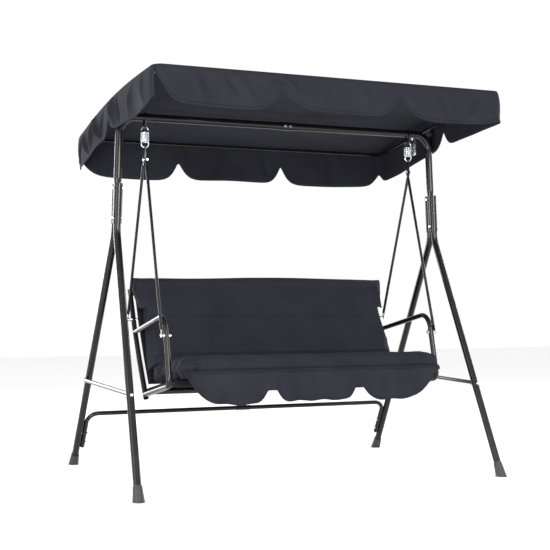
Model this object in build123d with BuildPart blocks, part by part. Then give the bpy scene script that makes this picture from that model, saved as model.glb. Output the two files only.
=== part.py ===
from build123d import *
import os
from math import atan, cos, degrees, hypot, radians, sin, tan

# Canopy swing bench, in millimetres. +Z is up, the bench faces -Y and +X is to the right.
# The origin lies on the floor, below the middle of the bench.

SIDES = (("left", -1), ("right", 1))

# Side frames: two legs each, in a plane that leans inward as it rises
FOOT_HALF_SPAN = 751.0
LEAN = 0.0358
LEG_DIAMETER = 29.0
LEG_WALL = 1.2
LEG_START_Z = 16.0
LEG_BEND_Z = 985.0
LEG_TOP_Z = 1118.0
LEG_BEND_RADIUS = 110.0
LEGS = (("front", -515.0, -1), ("rear", 585.0, 1))
HANG_Y = -51.0
SLEEVE_OFFSET = 17.0

# Foot caps
CAP_RADIUS = 23.5
CAP_BELOW = 16.0
CAP_HEIGHT = 74.0
CAP_TAPER = 5.0

# Sockets that take the two legs from below and the post from above
SOCKET_BOTTOM_Z = 1020.0
SOCKET_TOP_Z = 1178.0
SLEEVE_RADIUS = 17.0
SLEEVE_BORE = 14.6
WAIST_RADIUS = 15.6
NECK_RADIUS = 13.5
NECK_BOTTOM_Z = 1140.0
POST_START_Z = 1200.0
POST_BOLT_Z = 1162.0
LEG_BOLT_Z = 1042.0

# Bolts and their drillings
BOLT_HOLE = 6.2
HEAD_TAPER = 24.0
NUT_ACROSS = 0.85
HOLE_LEAD = 5.0
THROUGH = 60.0

# Posts and crossbar
POST_DIAMETER = 31.5
POST_WALL = 1.4
CROSSBAR_Z = 1449.0
POST_BEND_RADIUS = 70.0
CROSSBAR_SLEEVE = (-7.0, 52.0)
CROSSBAR_SLEEVE_DIAMETER = 35.0
CROSSBAR_BOLT_X = (7.0, 30.0)
RIGHT_BAR_END_X = -1.0

# Lower rear crossbar and the side stretchers
LOWER_BAR_WALL = 1.2
LOWER_SLEEVE_WALL = 1.5
LOWER_JOINT_X = 10.0
LOWER_JOINT_HOLE = 5.2
LOWER_BAR_DIAMETER = 19.0
LOWER_BAR_Z = 234.0
LOWER_BAR_FOOT_Z = 84.0
LOWER_BAR_BEND = 48.0
LOWER_BAR_SLEEVE_HALF = 32.0
LOWER_BAR_BOLT_Z = (106.0, 146.0)
STRETCHER_DIAMETER = 16.0
STRETCHER_FRONT_Z = 367.0
STRETCHER_REAR_Z = 385.0
STRETCHER_FLAT = 4.0
STRETCHER_FLAT_LENGTH = 34.0
STRETCHER_BOLT_REACH = 44.0
STRETCHER_WALL = 1.2
STRETCHER_EAR = 10.0
SADDLE_RADIUS = 10.5
SADDLE_GAP = 9.0
COPED_Z = (300.0, 500.0)

# Hangers
HANG_X = 597.0
HOOK_TOP_Z = 1412.0
HOOK_BOTTOM_Z = 1328.5
SAFETY_LINK_BOTTOM_Z = 1356.0
SAFETY_LINK_OFFSET = 23.0
STRAP_WIDTH = 7.0
STRAP_THICKNESS = 5.0
STRAP_EYE = 7.3
SPRING_RADIUS = 14.75
SPRING_WIRE = 5.0
SPRING_TURNS = 7
SPRING_PITCH = 5.25
LINK_THICKNESS = 5.0
LINK_BOLT_Z = 1280.0
LINK_RADIUS = 9.0
ROD_HOLE = 8.2
ROD_EYE_RADIUS = 8.0
ROD_EYE_LENGTH = 28.0
ROD_WALL = 1.2
ROD_DIAMETER = 12.0
ROD_OFFSET = 4.2
ROD_FLAT = 3.0
FRONT_ROD_FOOT = (-269.8, 580.0)
REAR_ROD_FOOT = (210.4, 640.0)

# Seat frame
SEAT_SIDE_X = 576.0
SEAT_TUBE = 22.0
ARM_TUBE = 20.0
UPRIGHT_TOP = (-266.2, 595.0)
FRONT_CORNER = (-315.0, 392.0)
REAR_CORNER = (26.0, 338.0)
BACK_POINTS = ((16.0, 323.0), (117.0, 474.0), (196.0, 609.0), (269.0, 766.0))
ARM_START = (-274.6, 560.0)
ARM_CORNER = (-250.6, 660.0)
ARM_END = (183.7, 588.0)
ARM_BEND = 70.0
FRONT_TUBE = (-300.0, 400.0)
REAR_TUBE = (34.0, 350.0)
TOP_TUBE = (263.0, 753.0)

# Soft parts
SLING_HALF_WIDTH = 560.0
SLING_THICKNESS = 3.0
SEAT_CUSHION_HALF_WIDTH = 550.0
SEAT_CUSHION_FRONT_Y = -371.0
SEAT_CUSHION_REAR_Y = 2.0
SEAT_CUSHION_THICKNESS = 78.0
BACK_CUSHION_HALF_WIDTH = 583.0
BACK_CUSHION_LOWER_HALF_WIDTH = 561.0
BACK_CUSHION_STEP_Z = 672.0
BACK_CUSHION_THICKNESS = 66.0
BACK_CUSHION_BOTTOM_Z = 418.0
BACK_CUSHION_TOP_Z = 806.0
FLAP_Y = -374.0
FLAP_THICKNESS = 3.0
FLAP_TOP_Z = 462.0
FLAP_BOTTOM_Z = 318.0
FLAP_NOTCH_X = 187.0
FLAP_NOTCH_Z = 371.0

# Canopy, in a plane that falls towards the rear
CANOPY_TILT = 5.15
CANOPY_RIDGE_Z = 1490.0
CANOPY_FRONT = 551.0
CANOPY_REAR = 556.0
CANOPY_FRONT_HALF_WIDTH = 714.0
CANOPY_REAR_HALF_WIDTH = 744.0
COVER_THICKNESS = 3.0
VALANCE_DEPTH = 140.0
NOTCH_DEPTH = 74.0
NOTCH_HALF_WIDTH = 70.0
NOTCH_X = 240.0
ARM_DIAMETER = 14.0
ARM_INSET = 15.0
ARM_DROP = 10.4
PIVOT_Z = 1457.0
PIVOT_PLATE_X = 712.0
PIVOT_PLATE_THICKNESS = 4.0
PIVOT_TAB_THICKNESS = 3.0
PIVOT_BOLT_DIAMETER = 8.0
KNOB_RADIUS = 13.0
KNOB_LENGTH = 18.0
PIVOT_TAB_RADIUS = 9.0
ARM_WALL = 1.1
END_TUBE_INSET = 12.0
GAP = 0.3

os.makedirs("parts", exist_ok=True)


def save(piece, label):
    """Name a finished piece and write it as its own STEP file."""
    piece.part.label = label
    export_step(piece.part, f"parts/{label}.step")


def side_x(side, z, inset=0.0):
    """X on the centre plane of a leaning side frame, at one height."""
    return side * (FOOT_HALF_SPAN - LEAN * z - inset)


def lean_plane(side, z):
    """The plane across a leaning post at one height, local X towards the rear."""
    return Plane(origin=(side_x(side, z), HANG_Y, z), x_dir=(0, 1, 0), z_dir=(-side * LEAN, 0, 1))


def lean_length(low, high):
    """Length along a leaning post between two heights."""
    return (high - low) * hypot(1, LEAN)


def leg_y(foot_y, end, z):
    """Y of a leg's centre line at one height, below its bend."""
    bend_y = HANG_Y + end * SLEEVE_OFFSET
    return foot_y + (bend_y - foot_y) * z / LEG_BEND_Z


def tube(points, bends, diameter, wall, holes=()):
    """A round tube with open ends: straight runs joined by arcs, then drilled."""
    with BuildPart() as piece:
        with BuildLine() as centre:
            FilletPolyline(*points, radius=bends)
        with BuildSketch(Plane(centre.line ^ 0)):
            Circle(diameter / 2)
            Circle(diameter / 2 - wall, mode=Mode.SUBTRACT)
        sweep(path=centre.line)
        for seat, depth, hole in holes:
            with BuildSketch(seat):
                Circle(hole / 2)
            extrude(amount=-depth, mode=Mode.SUBTRACT)
    return piece


def bolts(seats, grip, shank=6.0, head=13.0, head_height=4.0, nut=5.0):
    """Domed bolts with hexagon nuts. A seat is the face under a head, pointing out of it."""
    with BuildPart() as group:
        for seat in seats:
            with BuildSketch(seat.offset(-grip - nut - 2)):
                Circle(shank / 2)
            extrude(amount=grip + nut + 2)
            with BuildSketch(seat):
                Circle(head / 2)
            extrude(amount=head_height, taper=HEAD_TAPER)
            with BuildSketch(seat.offset(-grip)):
                RegularPolygon(shank * NUT_ACROSS, 6)
            extrude(amount=-nut)
    return group


# ---------------------------------------------------------------- side frames

def socket_seats(side):
    """Seats of the three bolts of a socket: one through the post, one through each leg."""
    outward = (side, 0, 0)
    neck_x = side_x(side, POST_BOLT_Z, -SLEEVE_RADIUS - GAP)
    seats = [Plane(origin=(neck_x, HANG_Y, POST_BOLT_Z), z_dir=outward)]
    x = side_x(side, LEG_BOLT_Z, -SLEEVE_RADIUS - GAP)
    for offset in (-SLEEVE_OFFSET, SLEEVE_OFFSET):
        seats.append(Plane(origin=(x, HANG_Y + offset, LEG_BOLT_Z), z_dir=outward))
    return seats


def socket_holes(side):
    """Drillings for the socket bolts, deep enough to pass both walls."""
    return [(seat.offset(HOLE_LEAD), THROUGH, BOLT_HOLE) for seat in socket_seats(side)]


def make_leg(name, side, foot_y, end):
    """A leg: a long straight run, one bend and a short vertical top in its sleeve."""
    start = (side_x(side, LEG_START_Z), leg_y(foot_y, end, LEG_START_Z), LEG_START_Z)
    top_y = HANG_Y + end * SLEEVE_OFFSET
    corner = (side_x(side, LEG_BEND_Z), top_y, LEG_BEND_Z)
    top = (side_x(side, LEG_TOP_Z), top_y, LEG_TOP_Z)
    holes = socket_holes(side)[1:] + stretcher_holes(side) + lower_bar_holes(side)
    leg = tube((start, corner, top), LEG_BEND_RADIUS, LEG_DIAMETER, LEG_WALL, holes)
    save(leg, name)


def make_foot_cap(name, side, foot_y, end):
    """A tapered plastic cup over the leg's end, cut flat where it stands on the floor."""
    low = Vector(side_x(side, 0), leg_y(foot_y, end, 0), 0)
    start = Vector(side_x(side, LEG_START_Z), leg_y(foot_y, end, LEG_START_Z), LEG_START_Z)
    axis = Plane(origin=low, z_dir=start - low)
    with BuildPart() as cap:
        with BuildSketch(axis.offset(-CAP_BELOW)):
            Circle(CAP_RADIUS)
        extrude(amount=CAP_HEIGHT, taper=CAP_TAPER)
        with BuildSketch(axis.offset((start - low).length)):
            Circle(LEG_DIAMETER / 2)
        extrude(amount=CAP_HEIGHT, mode=Mode.SUBTRACT)
        split(bisect_by=Plane.XY, keep=Keep.TOP)
    save(cap, name)


def make_socket(name, side):
    """Two sleeves side by side, open below for the legs, with the post's bore on top."""
    base = lean_plane(side, SOCKET_BOTTOM_Z)
    height = lean_length(SOCKET_BOTTOM_Z, SOCKET_TOP_Z)
    with BuildPart() as socket:
        with BuildSketch(base):
            with Locations((-SLEEVE_OFFSET, 0), (SLEEVE_OFFSET, 0)):
                Circle(SLEEVE_RADIUS)
            Circle(WAIST_RADIUS)
        extrude(amount=height)
        with BuildSketch(base):
            with Locations((-SLEEVE_OFFSET, 0), (SLEEVE_OFFSET, 0)):
                Circle(SLEEVE_BORE)
        extrude(amount=LEG_TOP_Z - SOCKET_BOTTOM_Z + 1, mode=Mode.SUBTRACT)
        with BuildSketch(base.offset(height)):
            Circle(NECK_RADIUS + 0.1)
        extrude(amount=NECK_BOTTOM_Z - SOCKET_TOP_Z - 1, mode=Mode.SUBTRACT)
        for seat, depth, hole in socket_holes(side):
            with BuildSketch(seat):
                Circle(hole / 2)
            extrude(amount=-depth, mode=Mode.SUBTRACT)
    save(socket, name)


def crossbar_seats():
    """Seats of the two bolts of the crossbar joint, on the front of its sleeve."""
    y = HANG_Y - CROSSBAR_SLEEVE_DIAMETER / 2
    return [Plane(origin=(x, y, CROSSBAR_Z), z_dir=(0, -1, 0)) for x in CROSSBAR_BOLT_X]


def make_post(name, side):
    """A post with its swaged neck, bent over into half of the crossbar."""
    end_x = CROSSBAR_SLEEVE[0] if side < 0 else RIGHT_BAR_END_X
    points = (
        (side_x(side, POST_START_Z), HANG_Y, POST_START_Z),
        (side_x(side, CROSSBAR_Z), HANG_Y, CROSSBAR_Z),
        (end_x, HANG_Y, CROSSBAR_Z),
    )
    with BuildPart() as post:
        with BuildLine() as centre:
            FilletPolyline(*points, radius=POST_BEND_RADIUS)
        with BuildSketch(Plane(centre.line ^ 0)):
            Circle(POST_DIAMETER / 2)
            Circle(POST_DIAMETER / 2 - POST_WALL, mode=Mode.SUBTRACT)
        sweep(path=centre.line)
        with BuildSketch(lean_plane(side, NECK_BOTTOM_Z)):
            Circle(NECK_RADIUS)
        extrude(amount=lean_length(NECK_BOTTOM_Z, SOCKET_TOP_Z))
        with BuildSketch(lean_plane(side, SOCKET_TOP_Z)):
            Circle(NECK_RADIUS)
        with BuildSketch(lean_plane(side, POST_START_Z)):
            Circle(POST_DIAMETER / 2)
        loft()
        with BuildSketch(lean_plane(side, NECK_BOTTOM_Z)):
            Circle(NECK_RADIUS - POST_WALL)
        extrude(amount=lean_length(NECK_BOTTOM_Z, POST_START_Z), mode=Mode.SUBTRACT)
        if side < 0:
            start, end = CROSSBAR_SLEEVE
            with BuildSketch(Plane(origin=(start, HANG_Y, CROSSBAR_Z), z_dir=(1, 0, 0))):
                Circle(CROSSBAR_SLEEVE_DIAMETER / 2)
                Circle(POST_DIAMETER / 2 + 0.1, mode=Mode.SUBTRACT)
            extrude(amount=end - start)
            with BuildSketch(Plane(origin=(start - 4, HANG_Y, CROSSBAR_Z), z_dir=(1, 0, 0))):
                Circle(CROSSBAR_SLEEVE_DIAMETER / 2)
                Circle(POST_DIAMETER / 2 - POST_WALL, mode=Mode.SUBTRACT)
            extrude(amount=4)
        for seat in crossbar_seats():
            with BuildSketch(seat.offset(HOLE_LEAD)):
                Circle(BOLT_HOLE / 2)
            extrude(amount=-THROUGH, mode=Mode.SUBTRACT)
        with BuildSketch(socket_seats(side)[0].offset(HOLE_LEAD)):
            Circle(BOLT_HOLE / 2)
        extrude(amount=-THROUGH, mode=Mode.SUBTRACT)
    save(post, name)


def make_side_frames():
    """Legs, foot caps, sockets, posts and their bolts, on both sides."""
    for name, side in SIDES:
        for place, foot_y, end in LEGS:
            make_leg(f"{name}_{place}_leg", side, foot_y, end)
            make_foot_cap(f"{name}_{place}_foot_cap", side, foot_y, end)
        make_socket(f"{name}_leg_socket", side)
        make_post(f"{name}_post_and_crossbar", side)
    seats = [seat for _, side in SIDES for seat in socket_seats(side)]
    save(bolts(seats, grip=2 * SLEEVE_RADIUS + GAP), "socket_bolts")
    save(bolts(crossbar_seats(), grip=CROSSBAR_SLEEVE_DIAMETER), "crossbar_joint_bolts")


# ---------------------------------------------------------------- lower bars

def rear_leg_point(side, z, inset=0.0):
    """A point on a rear leg's centre line, or beside it towards the middle."""
    _, foot_y, end = LEGS[1]
    return Vector(side_x(side, z, inset), leg_y(foot_y, end, z), z)


def lower_bar_inset():
    """Distance from a rear leg's centre line to that of the bar's end beside it."""
    return (LEG_DIAMETER + LOWER_BAR_DIAMETER) / 2


def lower_bar_seats(side):
    """Seats of the bolts that hold the bar's end to the rear leg, heads on the inside."""
    seats = []
    for z in LOWER_BAR_BOLT_Z:
        at = rear_leg_point(side, z, lower_bar_inset() + LOWER_BAR_DIAMETER / 2 + GAP)
        seats.append(Plane(origin=at, z_dir=(-side, 0, 0)))
    return seats


def lower_bar_holes(side):
    """Drillings for those bolts."""
    return [(seat.offset(HOLE_LEAD), THROUGH + 10, BOLT_HOLE) for seat in lower_bar_seats(side)]


def lower_bar_joint_seat():
    """Seat of the bolt in the middle of the lower crossbar, pointing up."""
    y = rear_leg_point(1, LOWER_BAR_Z).Y
    top = LOWER_BAR_Z + LOWER_BAR_DIAMETER / 2 + LOWER_SLEEVE_WALL
    return Plane(origin=(LOWER_JOINT_X, y, top), z_dir=(0, 0, 1))


def make_lower_crossbar():
    """Two halves with bent-down ends, a joining sleeve, and the bolts."""
    middle_y = rear_leg_point(1, LOWER_BAR_Z).Y
    joint = (lower_bar_joint_seat().offset(HOLE_LEAD), THROUGH, LOWER_JOINT_HOLE)
    for name, side in SIDES:
        points = (
            rear_leg_point(side, LOWER_BAR_FOOT_Z, lower_bar_inset()),
            rear_leg_point(side, LOWER_BAR_Z, lower_bar_inset()),
            Vector(side * 0.5, middle_y, LOWER_BAR_Z),
        )
        holes = lower_bar_holes(side) + [joint]
        half = tube(points, LOWER_BAR_BEND, LOWER_BAR_DIAMETER, LOWER_BAR_WALL, holes)
        save(half, f"{name}_lower_crossbar")
    half = LOWER_BAR_SLEEVE_HALF
    with BuildPart() as sleeve:
        with BuildSketch(Plane(origin=(-half, middle_y, LOWER_BAR_Z), z_dir=(1, 0, 0))):
            Circle(LOWER_BAR_DIAMETER / 2 + LOWER_SLEEVE_WALL)
            Circle(LOWER_BAR_DIAMETER / 2 + 0.1, mode=Mode.SUBTRACT)
        extrude(amount=2 * half)
        with BuildSketch(joint[0]):
            Circle(joint[2] / 2)
        extrude(amount=-joint[1], mode=Mode.SUBTRACT)
    save(sleeve, "lower_crossbar_sleeve")
    legs = [seat for _, side in SIDES for seat in lower_bar_seats(side)]
    with BuildPart() as group:
        add(bolts(legs, LOWER_BAR_DIAMETER + LEG_DIAMETER + 2 * GAP, nut=6).part)
        joint_grip = LOWER_BAR_DIAMETER + 2 * LOWER_SLEEVE_WALL
        add(bolts([lower_bar_joint_seat()], joint_grip, shank=5, head=11).part)
    save(group, "lower_crossbar_bolts")


def stretcher_ends(side):
    """The stretcher's centre line, from behind the front leg to beside the rear leg."""
    _, foot_y, end = LEGS[0]
    front_y = leg_y(foot_y, end, STRETCHER_FRONT_Z) + LEG_DIAMETER / 2 + SADDLE_GAP
    front = Vector(side_x(side, STRETCHER_FRONT_Z), front_y, STRETCHER_FRONT_Z + 1)
    rear = rear_leg_point(side, STRETCHER_REAR_Z, -LEG_DIAMETER / 2 - 2)
    return front, rear


def stretcher_front_seat(side):
    """Seat of the bolt through the front leg, on the leg's front."""
    front, rear = stretcher_ends(side)
    back = (rear - front).normalized()
    return Plane(origin=front - back * STRETCHER_BOLT_REACH, z_dir=-back)


def stretcher_rear_seat(side):
    """Seat of the bolt through the flattened rear end, on its outer face."""
    _, rear = stretcher_ends(side)
    return Plane(origin=rear + Vector(side * (STRETCHER_FLAT / 2 + GAP), 0, 0), z_dir=(side, 0, 0))


def stretcher_holes(side):
    """Drillings for the stretcher's two bolts."""
    front = (stretcher_front_seat(side).offset(HOLE_LEAD), STRETCHER_BOLT_REACH + 30.0, BOLT_HOLE)
    rear = (stretcher_rear_seat(side).offset(HOLE_LEAD), LEG_DIAMETER + 20.0, BOLT_HOLE)
    return [front, rear]


def leg_core(side, leg):
    """The solid that a stretch of a leg takes up, to cope other pieces against it."""
    _, foot_y, end = leg
    low_z, high_z = COPED_Z
    low = Vector(side_x(side, low_z), leg_y(foot_y, end, low_z), low_z)
    high = Vector(side_x(side, high_z), leg_y(foot_y, end, high_z), high_z)
    with BuildPart() as core:
        with BuildSketch(Plane(origin=low, z_dir=high - low)):
            Circle(LEG_DIAMETER / 2)
        extrude(amount=(high - low).length)
    return core.part


def make_stretcher(name, side):
    """A side stretcher: a plugged front end behind one leg, a flat rear end beside the other."""
    front, rear = stretcher_ends(side)
    along = (rear - front).normalized()
    length = (rear - front).length - STRETCHER_FLAT_LENGTH + 4
    with BuildPart() as stretcher:
        with BuildSketch(Plane(origin=front, z_dir=along)):
            Circle(STRETCHER_DIAMETER / 2)
        extrude(amount=length)
        with BuildSketch(Plane(origin=front + along * 22, z_dir=along)):
            Circle(STRETCHER_DIAMETER / 2 - STRETCHER_WALL)
        extrude(amount=length - 34, mode=Mode.SUBTRACT)
        flat = rear - Vector(side * STRETCHER_FLAT / 2, 0, 0)
        with BuildSketch(Plane(origin=flat, x_dir=along, z_dir=(side, 0, 0))):
            with Locations((-STRETCHER_FLAT_LENGTH / 2, 0)):
                Rectangle(STRETCHER_FLAT_LENGTH, 2 * STRETCHER_EAR)
            Circle(STRETCHER_EAR)
        extrude(amount=STRETCHER_FLAT)
        for seat, depth, hole in stretcher_holes(side):
            with BuildSketch(seat):
                Circle(hole / 2)
            extrude(amount=-depth, mode=Mode.SUBTRACT)
        add(leg_core(side, LEGS[1]), mode=Mode.SUBTRACT)
    save(stretcher, name)


def make_stretcher_fittings():
    """Coped saddles behind the front legs, and the bolts at both ends of the stretchers."""
    with BuildPart() as saddles:
        for _, side in SIDES:
            front, rear = stretcher_ends(side)
            along = (rear - front).normalized()
            with BuildSketch(Plane(origin=front, z_dir=-along)):
                Circle(SADDLE_RADIUS)
            extrude(amount=LEG_DIAMETER / 2 + 2)
            add(leg_core(side, LEGS[0]), mode=Mode.SUBTRACT)
            with BuildSketch(stretcher_holes(side)[0][0]):
                Circle(BOLT_HOLE / 2)
            extrude(amount=-STRETCHER_BOLT_REACH - 30, mode=Mode.SUBTRACT)
    save(saddles, "stretcher_saddles")
    with BuildPart() as group:
        for _, side in SIDES:
            front_seat, rear_seat = stretcher_front_seat(side), stretcher_rear_seat(side)
            rear_grip = LEG_DIAMETER + STRETCHER_FLAT + 2 * GAP
            for seat, length in ((front_seat, STRETCHER_BOLT_REACH + 20), (rear_seat, rear_grip + 7)):
                with BuildSketch(seat.offset(-length)):
                    Circle(3)
                extrude(amount=length)
                with BuildSketch(seat):
                    Circle(6.5)
                extrude(amount=4, taper=HEAD_TAPER)
            with BuildSketch(rear_seat.offset(-rear_grip)):
                RegularPolygon(6 * NUT_ACROSS, 6)
            extrude(amount=-5)
    save(group, "stretcher_bolts")


def make_stretchers():
    """The side stretchers and what fastens them to the legs."""
    for name, side in SIDES:
        make_stretcher(f"{name}_side_stretcher", side)
    make_stretcher_fittings()


# ---------------------------------------------------------------- hangers

def make_hanger_eye(name, side):
    """A flat strap closed round the crossbar, whose narrow lower end carries the spring."""
    plane = Plane.YZ.offset(side * HANG_X - STRAP_WIDTH / 2)
    with BuildPart() as eye:
        with BuildSketch(plane):
            with Locations((HANG_Y, CROSSBAR_Z)):
                Circle(POST_DIAMETER / 2 + STRAP_THICKNESS)
            with Locations((HANG_Y, HOOK_TOP_Z + 4)):
                Circle(STRAP_EYE + STRAP_THICKNESS)
            make_hull()
        extrude(amount=STRAP_WIDTH)
        with BuildSketch(plane):
            with Locations((HANG_Y, CROSSBAR_Z)):
                Circle(POST_DIAMETER / 2 + 0.05)
            with Locations((HANG_Y, HOOK_TOP_Z + 4)):
                Circle(STRAP_EYE)
            make_hull()
        extrude(amount=STRAP_WIDTH, mode=Mode.SUBTRACT)
    save(eye, name)


def make_spring(name, side):
    """A close-wound tension spring with a round hook, in the XZ plane, at each end."""
    height = SPRING_TURNS * SPRING_PITCH
    top_centre = HOOK_TOP_Z - SPRING_RADIUS
    bottom_centre = HOOK_BOTTOM_Z + SPRING_RADIUS
    coil_bottom = (top_centre + bottom_centre - height) / 2
    coil_top = coil_bottom + height
    x = side * HANG_X
    front = Plane(origin=(x, HANG_Y, 0), x_dir=(1, 0, 0), z_dir=(0, -1, 0))
    with BuildPart() as spring:
        with BuildLine(Plane(origin=(x, HANG_Y, coil_bottom))) as coil:
            Helix(SPRING_PITCH, height, SPRING_RADIUS)
        with BuildSketch(Plane(coil.line ^ 0)):
            Circle(SPRING_WIRE / 2)
        sweep(path=coil.line, is_frenet=True)
        with BuildLine(front) as upper:
            Line((SPRING_RADIUS, coil_top), (SPRING_RADIUS, top_centre))
            CenterArc((0, top_centre), SPRING_RADIUS, 0, 180)
        with BuildSketch(Plane(upper.line ^ 0)):
            Circle(SPRING_WIRE / 2)
        sweep(path=upper.line)
        with BuildLine(front) as lower:
            Line((SPRING_RADIUS, coil_bottom), (SPRING_RADIUS, bottom_centre))
            CenterArc((0, bottom_centre), SPRING_RADIUS, 0, -205)
        with BuildSketch(Plane(lower.line ^ 0)):
            Circle(SPRING_WIRE / 2)
        sweep(path=lower.line)
        for z in (coil_bottom, coil_top):
            with Locations((x + SPRING_RADIUS, HANG_Y, z)):
                Sphere(SPRING_WIRE / 2)
    save(spring, name)


def make_link(name, side):
    """A flat link: the spring's lower hook above, the bolt of the two rods below."""
    plane = Plane.YZ.offset(side * HANG_X - LINK_THICKNESS / 2)
    upper = (HANG_Y, HOOK_BOTTOM_Z - 1.2)
    lower = (HANG_Y, LINK_BOLT_Z)
    with BuildPart() as link:
        with BuildSketch(plane):
            with Locations(upper, lower):
                Circle(LINK_RADIUS)
            make_hull()
            with Locations(upper):
                Circle(4.3, mode=Mode.SUBTRACT)
            with Locations(lower):
                Circle(ROD_HOLE / 2, mode=Mode.SUBTRACT)
        extrude(amount=LINK_THICKNESS)
    save(link, name)


def make_rod(name, x, foot):
    """A hanger rod: a round tube whose two ends are flattened and drilled."""
    low = Vector(x, foot[0], foot[1])
    high = Vector(x, HANG_Y, LINK_BOLT_Z)
    along = (high - low).normalized()
    plate = Plane(origin=low - Vector(ROD_FLAT / 2, 0, 0), x_dir=along, z_dir=(1, 0, 0))
    length = (high - low).length
    with BuildPart() as rod:
        with BuildSketch(Plane(origin=low + along * 26, z_dir=along)):
            Circle(ROD_DIAMETER / 2)
        extrude(amount=length - 52)
        with BuildSketch(Plane(origin=low + along * 40, z_dir=along)):
            Circle(ROD_DIAMETER / 2 - ROD_WALL)
        extrude(amount=length - 80, mode=Mode.SUBTRACT)
        with BuildSketch(plate):
            with Locations((0, 0), (length, 0)):
                Circle(ROD_EYE_RADIUS)
            with Locations((ROD_EYE_LENGTH / 2, 0), (length - ROD_EYE_LENGTH / 2, 0)):
                Rectangle(ROD_EYE_LENGTH, 2 * ROD_EYE_RADIUS)
            with Locations((0, 0), (length, 0)):
                Circle(ROD_HOLE / 2, mode=Mode.SUBTRACT)
        extrude(amount=ROD_FLAT)
    save(rod, name)


def make_hangers():
    """Straps, springs, links, rods and the bolts that join rods and links."""
    for name, side in SIDES:
        make_hanger_eye(f"{name}_hanger_strap", side)
        make_spring(f"{name}_spring", side)
        make_link(f"{name}_hanger_link", side)
        make_rod(f"{name}_front_rod", side * (HANG_X - ROD_OFFSET), FRONT_ROD_FOOT)
        make_rod(f"{name}_rear_rod", side * (HANG_X + ROD_OFFSET), REAR_ROD_FOOT)
    head_x = HANG_X + ROD_OFFSET + ROD_FLAT / 2
    seats = [Plane(origin=(side * head_x, HANG_Y, LINK_BOLT_Z), z_dir=(side, 0, 0)) for _, side in SIDES]
    save(bolts(seats, 2 * ROD_OFFSET + ROD_FLAT, shank=8, head=15), "hanger_bolts")
    make_safety_link()


def make_safety_link():
    """A plated flat link fixed below the crossbar, outboard of one spring."""
    middle = (SAFETY_LINK_BOTTOM_Z + CROSSBAR_Z) / 2
    height = CROSSBAR_Z - SAFETY_LINK_BOTTOM_Z
    with BuildPart() as link:
        with BuildSketch(Plane.YZ.offset(HANG_X + SAFETY_LINK_OFFSET)) as outline:
            with Locations((HANG_Y, middle)):
                Rectangle(34, height)
            fillet(outline.vertices(), radius=7)
            with Locations((HANG_Y, middle - 4)):
                SlotOverall(height - 22, 20, rotation=90, mode=Mode.SUBTRACT)
            with Locations((HANG_Y, CROSSBAR_Z)):
                Circle(POST_DIAMETER / 2 + 0.02, mode=Mode.SUBTRACT)
        extrude(amount=8)
    save(link, "right_safety_link")


# ---------------------------------------------------------------- seat frame

def make_seat_side(name, side):
    """The bent tube of one seat side: front upright and bottom rail."""
    x = side * SEAT_SIDE_X
    points = [(x, *UPRIGHT_TOP), (x, *FRONT_CORNER), (x, *REAR_CORNER)]
    low, high = Vector(x, *BACK_POINTS[0]), Vector(x, *BACK_POINTS[1])
    with BuildPart() as rail:
        with BuildLine() as centre:
            FilletPolyline(*points, radius=28)
        with BuildSketch(Plane(centre.line ^ 0)):
            Circle(SEAT_TUBE / 2)
            Circle(ARM_TUBE / 2 + 0.1, mode=Mode.SUBTRACT)
        sweep(path=centre.line)
        with BuildSketch(Plane(origin=low - (high - low), z_dir=high - low)):
            Circle(SEAT_TUBE / 2)
        extrude(amount=300, mode=Mode.SUBTRACT)
        with BuildSketch(rod_seat(side, FRONT_ROD_FOOT)):
            Circle(ROD_HOLE / 2)
        extrude(amount=-THROUGH, mode=Mode.SUBTRACT)
    save(rail, name)


def make_back_upright(name, side):
    """The gently bent tube that carries one edge of the back."""
    x = side * SEAT_SIDE_X
    points = [(x, *point) for point in BACK_POINTS]
    hole = (rod_seat(side, REAR_ROD_FOOT), THROUGH, ROD_HOLE)
    save(tube(points, 160, SEAT_TUBE, 1.0, [hole]), name)


def make_armrest(name, side):
    """The armrest: plugged into the front upright, coped onto the back upright."""
    x = side * SEAT_SIDE_X
    points = [(x, *ARM_START), (x, *ARM_CORNER), (x, *ARM_END)]
    low, high = Vector(x, *BACK_POINTS[1]), Vector(x, *BACK_POINTS[2])
    with BuildPart() as armrest:
        with BuildLine() as centre:
            FilletPolyline(*points, radius=ARM_BEND)
        with BuildSketch(Plane(centre.line ^ 0)):
            Circle(ARM_TUBE / 2)
            Circle(ARM_TUBE / 2 - 1.1, mode=Mode.SUBTRACT)
        sweep(path=centre.line)
        with BuildSketch(Plane(origin=low, z_dir=high - low)):
            Circle(SEAT_TUBE / 2)
        extrude(amount=300, mode=Mode.SUBTRACT)
        with BuildSketch(rod_seat(side, FRONT_ROD_FOOT)):
            Circle(ROD_HOLE / 2)
        extrude(amount=-THROUGH, mode=Mode.SUBTRACT)
    save(armrest, name)


def rod_x(foot):
    """Distance of a rod from the middle plane: front rods run inside the rear ones."""
    return HANG_X + (ROD_OFFSET if foot is REAR_ROD_FOOT else -ROD_OFFSET)


def rod_seat(side, foot):
    """Seat of the bolt at a rod's foot, on the rod's outer face."""
    x = side * (rod_x(foot) + ROD_FLAT / 2)
    return Plane(origin=(x, *foot), z_dir=(side, 0, 0))


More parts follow.
